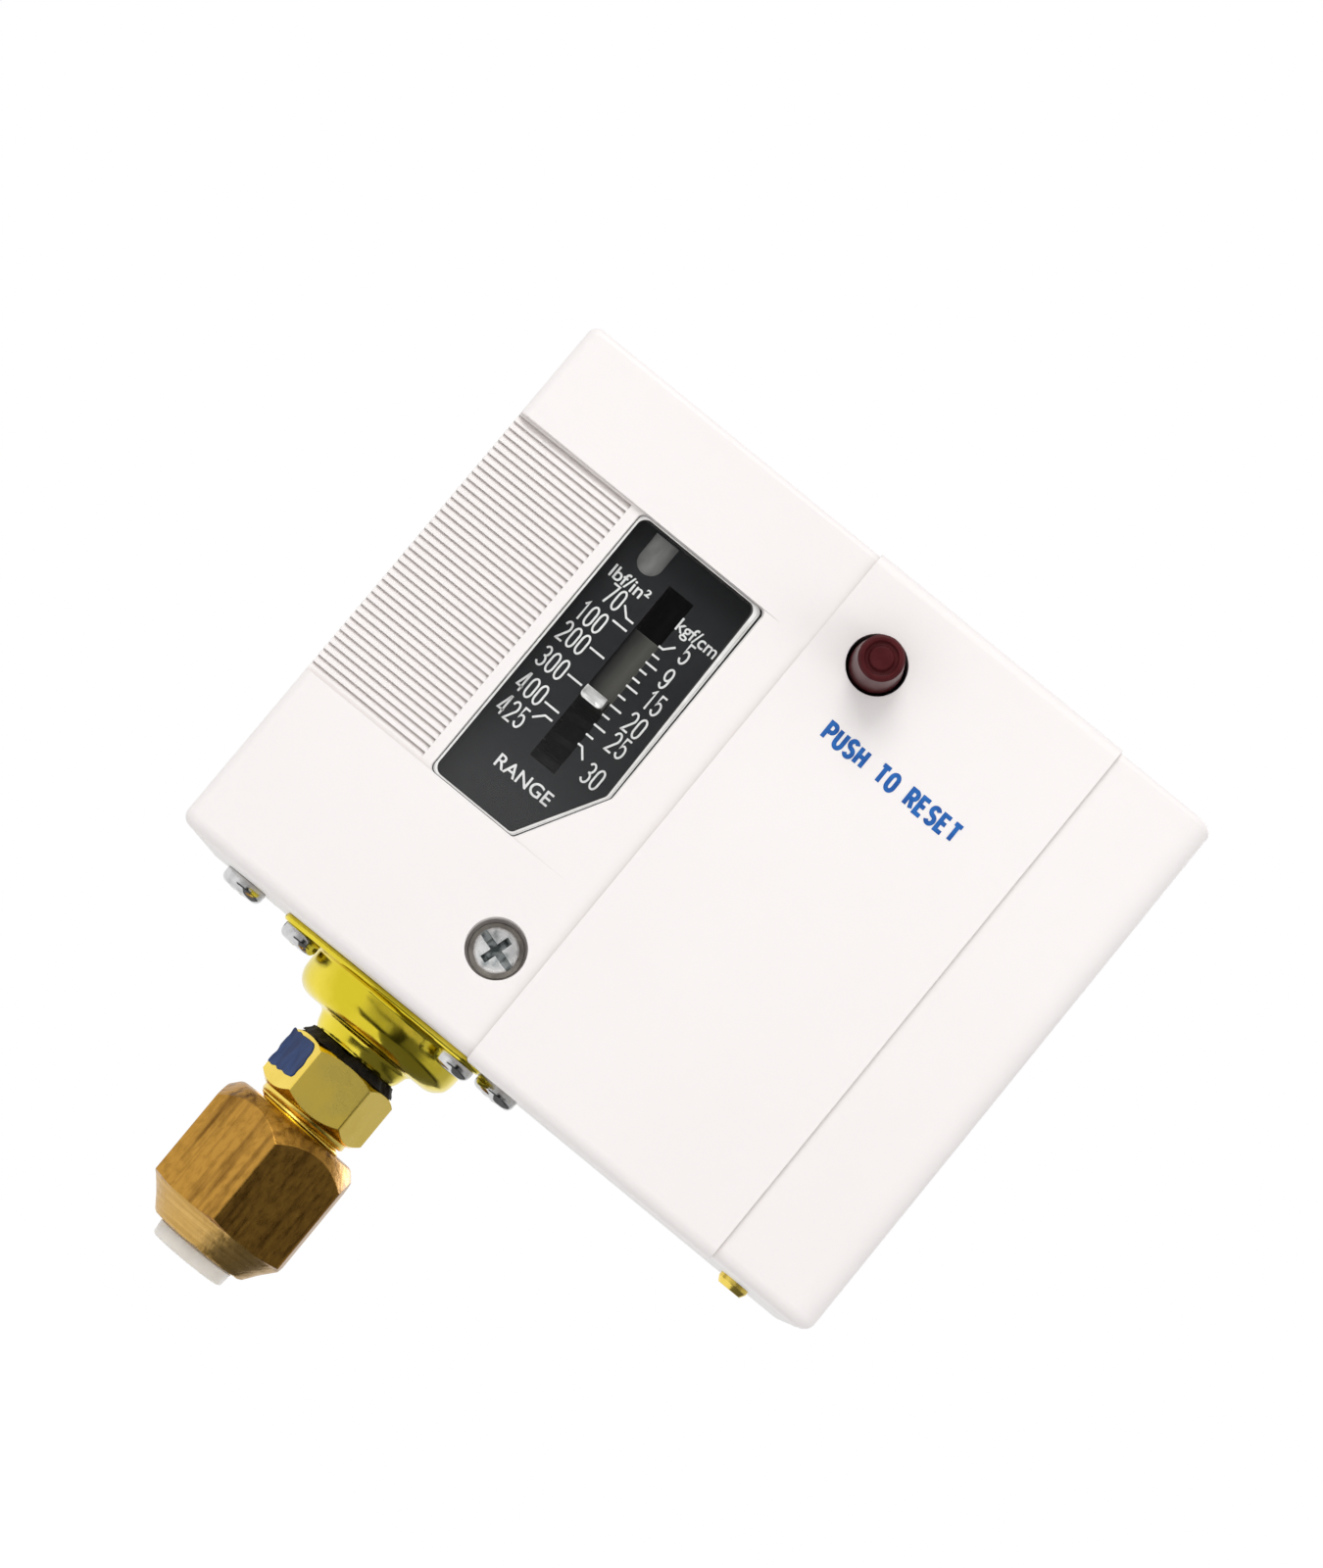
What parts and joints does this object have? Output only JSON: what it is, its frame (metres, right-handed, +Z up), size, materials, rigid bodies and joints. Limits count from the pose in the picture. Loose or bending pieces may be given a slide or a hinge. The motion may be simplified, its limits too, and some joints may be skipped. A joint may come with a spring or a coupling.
{
  "type": "refrigeration pressure switch",
  "caption": "Boxed pressure switch for refrigeration lines, with a windowed range scale, a reset button and a flare connector below.",
  "frame": {"origin": "midway between the two mounting holes, on the back face of the case", "axes": "+Z up with the flare connector pointing down; the front with the window and button faces -Y; +X to the right of the front"},
  "size_m": [0.084, 0.0495, 0.1038],
  "materials": {
    "cover_plastic": "fine satin moulding",
    "case_paint": "satin enamel",
    "clear_lens": "clear polished plastic",
    "scale_black": "satin black print",
    "zinc_steel": "bright zinc plate",
    "yellow_zinc": "yellow passivated zinc on steel",
    "bright_brass": "turned, slightly dulled",
    "dark_brass": "hot forged, streaked",
    "white_plug": "translucent white polyethylene",
    "maroon_plastic": "gloss moulding",
    "black_rubber": "matt",
    "sealant": "matt cured sealant",
    "dark_spring_steel": "oiled black",
    "bellows_bronze": "bright bronze",
    "bakelite": "dark phenolic"
  },
  "bodies": {
    "housing": {"rear_case": "case_paint", "front_cover": "cover_plastic", "window_lens": "clear_lens", "chassis": "zinc_steel", "foot_screws": "zinc_steel", "cover_screw": "zinc_steel", "scale_plate": "scale_black", "plate_screws": "zinc_steel", "range_spring": "dark_spring_steel", "lever_pin": "zinc_steel", "bellows": "bellows_bronze", "bellows_housing": "yellow_zinc", "flange_screws": "zinc_steel", "seal_ring": "sealant", "flare_connector": "bright_brass", "switch_body": "bakelite", "switch_screws": "zinc_steel", "terminal_plates": "bright_brass", "terminal_screws": "zinc_steel", "earth_screw": "bright_brass", "earth_washer": "bright_brass", "earth_nut": "bright_brass", "cable_bush": "black_rubber", "reset_spring": "dark_spring_steel", "reset_pin": "zinc_steel"},
    "button": {"reset_button": "maroon_plastic", "button_clip": "dark_spring_steel"},
    "reset_arm": {"reset_lever": "zinc_steel"},
    "range_shaft": {"range_screw": "zinc_steel", "range_ring": "dark_spring_steel"},
    "pointer": {"pointer_nut": "zinc_steel"},
    "lever": {"main_lever": "zinc_steel", "spring_seat": "zinc_steel"},
    "rod": {"push_rod": "bright_brass"},
    "plunger": {"switch_plunger": "maroon_plastic"},
    "nut": {"flare_nut": "dark_brass"},
    "plug": {"nut_plug": "white_plug"}
  },
  "joints": [
    {"name": "reset_press", "type": "slide", "parent": "housing", "child": "button", "axis": [0, 1, 0], "range_m": [0, 0.003], "stiffness_N_per_m": 150, "deforming": ["reset_spring"]},
    {"name": "reset_swing", "type": "hinge", "parent": "housing", "child": "reset_arm", "pos_m": [0.0037, -0.021, 0.01], "axis": [-1, 0, 0], "range_deg": [-0.5, 12.5]},
    {"name": "range_turn", "type": "hinge", "parent": "housing", "child": "range_shaft", "pos_m": [-0.0169, -0.026, 0], "axis": [0, 0, 1], "range_deg": [-4325, 2475]},
    {"name": "pointer_travel", "type": "slide", "parent": "housing", "child": "pointer", "axis": [0, 0, 1], "range_m": [-0.0048, 0.0084], "deforming": ["range_spring"]},
    {"name": "lever_swing", "type": "hinge", "parent": "housing", "child": "lever", "pos_m": [-0.034, -0.018, -0.015], "axis": [0, -1, 0], "range_deg": [-1, 1.5], "stiffness_Nm_per_rad": 3},
    {"name": "rod_lift", "type": "slide", "parent": "housing", "child": "rod", "axis": [0, 0, 1], "range_m": [-0.00035, 0.00053], "deforming": ["bellows"]},
    {"name": "plunger_lift", "type": "slide", "parent": "housing", "child": "plunger", "axis": [0, 0, 1], "range_m": [-0.00072, 0.00108]},
    {"name": "nut_turn", "type": "hinge", "parent": "housing", "child": "nut", "pos_m": [-0.0135, -0.019, -0.057], "axis": [0, 0, 1], "range_deg": [-1800, 0]},
    {"name": "plug_pull", "type": "slide", "parent": "nut", "child": "plug", "axis": [0, 0, -1], "range_m": [0, 0.012]}
  ],
  "couplings": [
    {"joint": "reset_swing", "follows": "reset_press", "rad_per_m": 69.5},
    {"joint": "range_turn", "follows": "pointer_travel", "rad_per_m": -8976},
    {"joint": "lever_swing", "follows": "rod_lift", "rad_per_m": 48.8},
    {"joint": "plunger_lift", "follows": "rod_lift", "ratio": 1.95}
  ]
}
